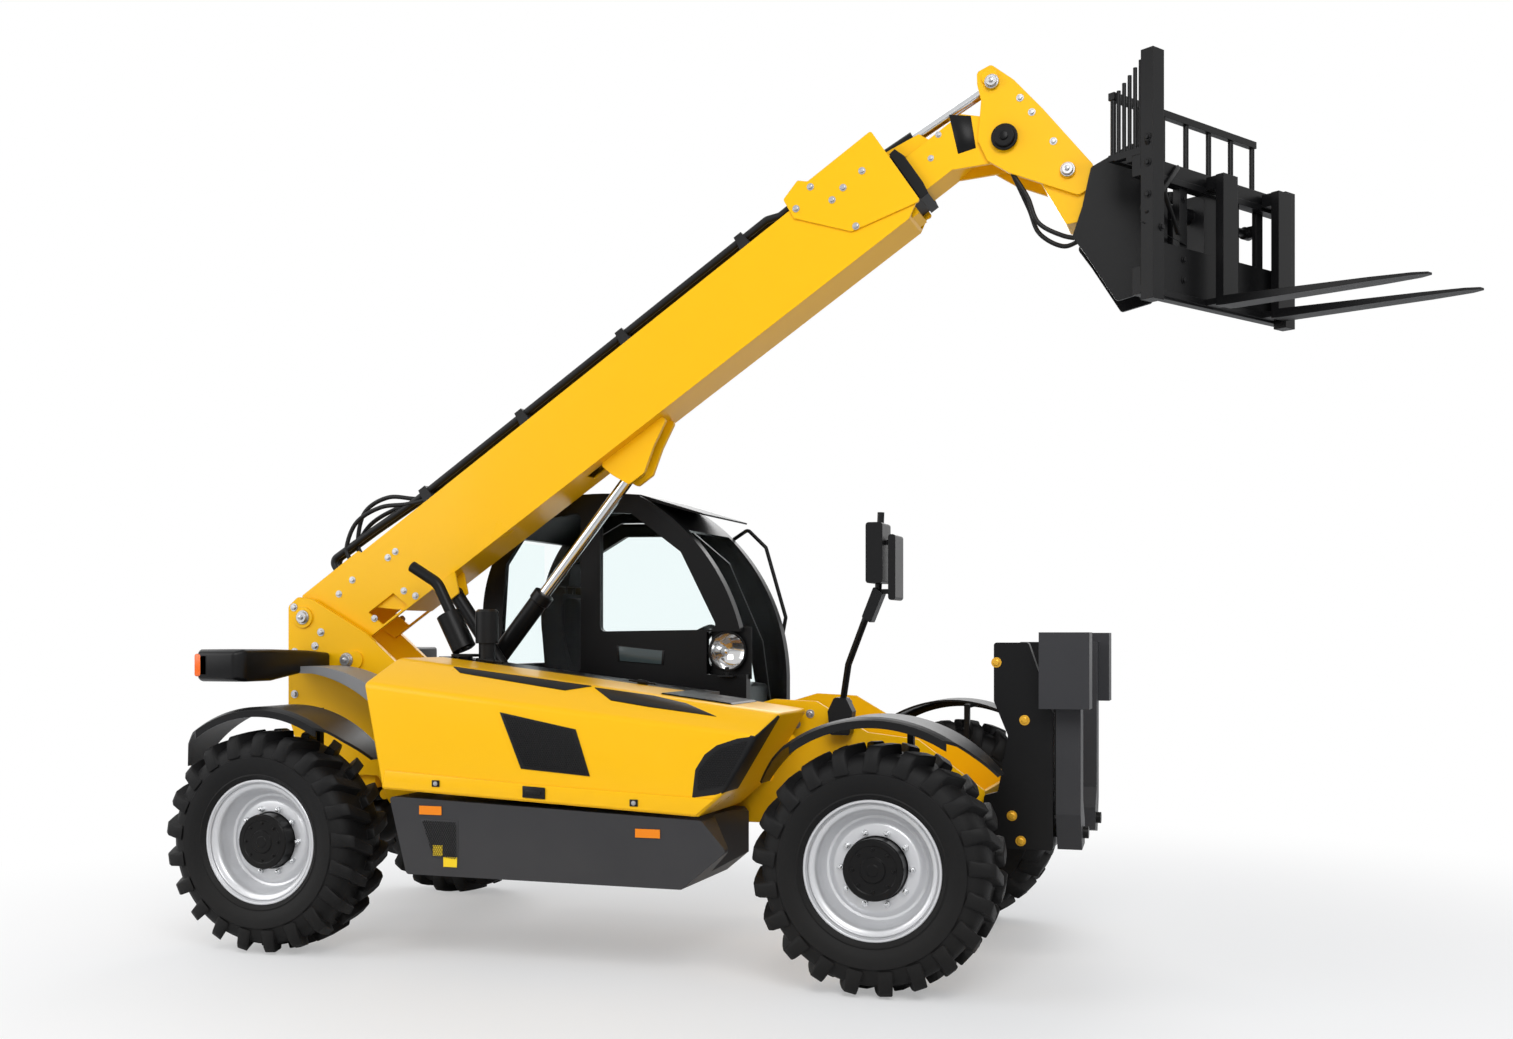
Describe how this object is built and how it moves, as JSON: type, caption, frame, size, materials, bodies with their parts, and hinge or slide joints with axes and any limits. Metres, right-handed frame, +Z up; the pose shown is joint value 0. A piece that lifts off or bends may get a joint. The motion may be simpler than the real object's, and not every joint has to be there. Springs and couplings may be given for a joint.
{
  "type": "telehandler",
  "caption": "Yellow telescopic handler with raised boom, enclosed cab, front stabilisers and a swinging pallet fork carriage on a goose-neck head.",
  "frame": {"origin": "on the ground, under the middle of the machine, its width and its length over the rear fenders and the fork tips as parked", "axes": "+X forward, +Y the machine's left, +Z up"},
  "size_m": [6.5894, 2.431, 4.625],
  "materials": {
    "yellow_paint": "gloss",
    "black_paint": "satin",
    "grey_paint": "satin",
    "guard_grey": "satin",
    "rim_silver": "satin",
    "rod_chrome": "polished",
    "black_plastic": "matte",
    "tyre_rubber": "matte",
    "glass": "clear",
    "seat_cloth": "woven",
    "lamp": "gloss"
  },
  "bodies": {
    "chassis": {"air_intake": "black_plastic", "cab_glass": "glass", "cab_rail": "black_paint", "cab_shell": "black_paint", "engine_block": "black_paint", "engine_cowl": "black_paint", "exhaust": "black_paint", "front_axle": "black_paint", "front_frame": "yellow_paint", "headlamp": "lamp", "mast_plates": "yellow_paint", "mirror_post": "black_plastic", "rear_axle": "black_paint", "rear_guards": "guard_grey", "rear_lights": "black_plastic", "seat": "seat_cloth", "seat_base": "black_paint", "side_tank": "grey_paint", "stabiliser_frame": "black_paint", "steering_column": "black_plastic", "windscreen": "glass"},
    "steer_front_right": {"knuckle_front_right": "black_paint", "fender_front_right": "black_plastic"},
    "wheel_front_right": {"rim_front_right": "rim_silver", "tyre_front_right": "tyre_rubber"},
    "steer_front_left": {"knuckle_front_left": "black_paint", "fender_front_left": "black_plastic"},
    "wheel_front_left": {"rim_front_left": "rim_silver", "tyre_front_left": "tyre_rubber"},
    "steer_rear_right": {"knuckle_rear_right": "black_paint", "fender_rear_right": "black_plastic"},
    "wheel_rear_right": {"rim_rear_right": "rim_silver", "tyre_rear_right": "tyre_rubber"},
    "steer_rear_left": {"knuckle_rear_left": "black_paint", "fender_rear_left": "black_plastic"},
    "wheel_rear_left": {"rim_rear_left": "rim_silver", "tyre_rear_left": "tyre_rubber"},
    "boom_base": {"boom_outer": "yellow_paint", "boom_lines": "black_plastic"},
    "boom_middle": {"boom_mid": "black_paint"},
    "boom_tip": {"boom_inner": "yellow_paint"},
    "head": {"boom_head": "yellow_paint", "hitch": "black_paint"},
    "carriage": {"carriage_frame": "black_paint", "backrest": "black_paint", "forks": "black_paint"},
    "lift_barrel_body": {"lift_barrel": "black_paint"},
    "lift_rod_body": {"lift_rod": "rod_chrome"},
    "compensation_barrel_body": {"compensation_barrel": "black_paint"},
    "compensation_rod_body": {"compensation_rod": "rod_chrome"},
    "tilt_barrel_body": {"tilt_barrel": "black_paint"},
    "tilt_rod_body": {"tilt_rod": "rod_chrome"},
    "door": {"cab_door": "black_paint", "cab_door_glass": "glass"},
    "hood": {"hood_shell": "yellow_paint", "hood_vents": "black_plastic", "hood_panels": "black_plastic"},
    "stabiliser_left": {"stabiliser_leg_left": "grey_paint"},
    "stabiliser_right": {"stabiliser_leg_right": "grey_paint"}
  },
  "joints": [
    {"name": "steer_front_left", "type": "hinge", "parent": "chassis", "child": "steer_front_left", "pos_m": [0.59767, 0.75, 0.588], "axis": [0, 0, 1], "range_deg": [-30, 30]},
    {"name": "steer_front_right", "type": "hinge", "parent": "chassis", "child": "steer_front_right", "pos_m": [0.59767, -0.75, 0.588], "axis": [0, 0, 1], "range_deg": [-30, 30]},
    {"name": "wheel_front_left", "type": "hinge", "parent": "steer_front_left", "child": "wheel_front_left", "pos_m": [0.59767, 1.015, 0.588], "axis": [0, 1, 0], "continuous": true},
    {"name": "wheel_front_right", "type": "hinge", "parent": "steer_front_right", "child": "wheel_front_right", "pos_m": [0.59767, -1.015, 0.588], "axis": [0, 1, 0], "continuous": true},
    {"name": "steer_rear_left", "type": "hinge", "parent": "chassis", "child": "steer_rear_left", "pos_m": [-2.70233, 0.75, 0.588], "axis": [0, 0, 1], "range_deg": [-30, 30]},
    {"name": "steer_rear_right", "type": "hinge", "parent": "chassis", "child": "steer_rear_right", "pos_m": [-2.70233, -0.75, 0.588], "axis": [0, 0, 1], "range_deg": [-30, 30]},
    {"name": "wheel_rear_left", "type": "hinge", "parent": "steer_rear_left", "child": "wheel_rear_left", "pos_m": [-2.70233, 1.015, 0.588], "axis": [0, 1, 0], "continuous": true},
    {"name": "wheel_rear_right", "type": "hinge", "parent": "steer_rear_right", "child": "wheel_rear_right", "pos_m": [-2.70233, -1.015, 0.588], "axis": [0, 1, 0], "continuous": true},
    {"name": "boom_lift", "type": "hinge", "parent": "chassis", "child": "boom_base", "pos_m": [-3.08633, 0, 1.782], "axis": [0, -1, 0], "range_deg": [-36, 32]},
    {"name": "boom_extend_mid", "type": "slide", "parent": "boom_base", "child": "boom_middle", "axis": [0.8261, 0, 0.5635], "range_m": [0, 2.7]},
    {"name": "boom_extend_inner", "type": "slide", "parent": "boom_middle", "child": "boom_tip", "axis": [0.8261, 0, 0.5635], "range_m": [0, 2.7]},
    {"name": "head_tilt", "type": "hinge", "parent": "boom_tip", "child": "head", "pos_m": [1.06355, 0, 4.2376], "axis": [0, 1, 0], "range_deg": [-45, 55]},
    {"name": "carriage_swing", "type": "hinge", "parent": "head", "child": "carriage", "pos_m": [1.86767, 0, 3.6], "axis": [0, 0, 1], "range_deg": [-12, 78]},
    {"name": "lift_barrel_swing", "type": "hinge", "parent": "chassis", "child": "lift_barrel_body", "pos_m": [-2.56233, 0, 0.748], "axis": [0, -1, 0], "range_deg": [-30, 27]},
    {"name": "lift_rod_slide", "type": "slide", "parent": "lift_barrel_body", "child": "lift_rod_body", "axis": [0.6288, 0, 0.7776], "range_m": [-0.66, 0.59]},
    {"name": "compensation_barrel_swing", "type": "hinge", "parent": "boom_base", "child": "compensation_barrel_body", "pos_m": [-2.13425, -0.11, 1.92305], "axis": [0, -1, 0], "range_deg": [-42, 47]},
    {"name": "compensation_rod_slide", "type": "slide", "parent": "compensation_barrel_body", "child": "compensation_rod_body", "axis": [0.5791, 0, -0.8153], "range_m": [-0.44, 0.39]},
    {"name": "tilt_barrel_swing", "type": "hinge", "parent": "boom_tip", "child": "tilt_barrel_body", "pos_m": [-0.00351, 0, 4.00601], "axis": [0, -1, 0], "range_deg": [-5.5, 4.5]},
    {"name": "tilt_rod_slide", "type": "slide", "parent": "tilt_barrel_body", "child": "tilt_rod_body", "axis": [0.8685, 0, 0.4957], "range_m": [-0.24, 0.3]},
    {"name": "cab_door_swing", "type": "hinge", "parent": "chassis", "child": "door", "pos_m": [-2.01433, 1.172, 1.6], "axis": [0, 0, 1], "range_deg": [0, 80]},
    {"name": "hood_lift", "type": "hinge", "parent": "chassis", "child": "hood", "pos_m": [-0.56233, -0.5, 1.399], "axis": [-0.9929, 0, 0.1187], "range_deg": [0, 60]},
    {"name": "stabiliser_swing_right", "type": "hinge", "parent": "chassis", "child": "stabiliser_right", "pos_m": [1.39767, -0.33, 0.7], "axis": [1, 0, 0], "range_deg": [0, 115]},
    {"name": "stabiliser_swing_left", "type": "hinge", "parent": "chassis", "child": "stabiliser_left", "pos_m": [1.39767, 0.33, 0.7], "axis": [-1, 0, 0], "range_deg": [0, 115]}
  ],
  "couplings": [
    {"joint": "steer_front_right", "follows": "steer_front_left", "ratio": 1},
    {"joint": "steer_rear_right", "follows": "steer_rear_left", "ratio": 1},
    {"joint": "boom_extend_inner", "follows": "boom_extend_mid", "ratio": 1},
    {"joint": "lift_barrel_swing", "follows": "boom_lift", "ratio": 0.8149},
    {"joint": "lift_rod_slide", "follows": "boom_lift", "m_per_rad": 1.0449},
    {"joint": "compensation_barrel_swing", "follows": "boom_lift", "ratio": -1.2811},
    {"joint": "compensation_rod_slide", "follows": "boom_lift", "m_per_rad": 0.6915},
    {"joint": "tilt_barrel_swing", "follows": "head_tilt", "ratio": -0.0904},
    {"joint": "tilt_rod_slide", "follows": "head_tilt", "m_per_rad": 0.3027}
  ]
}
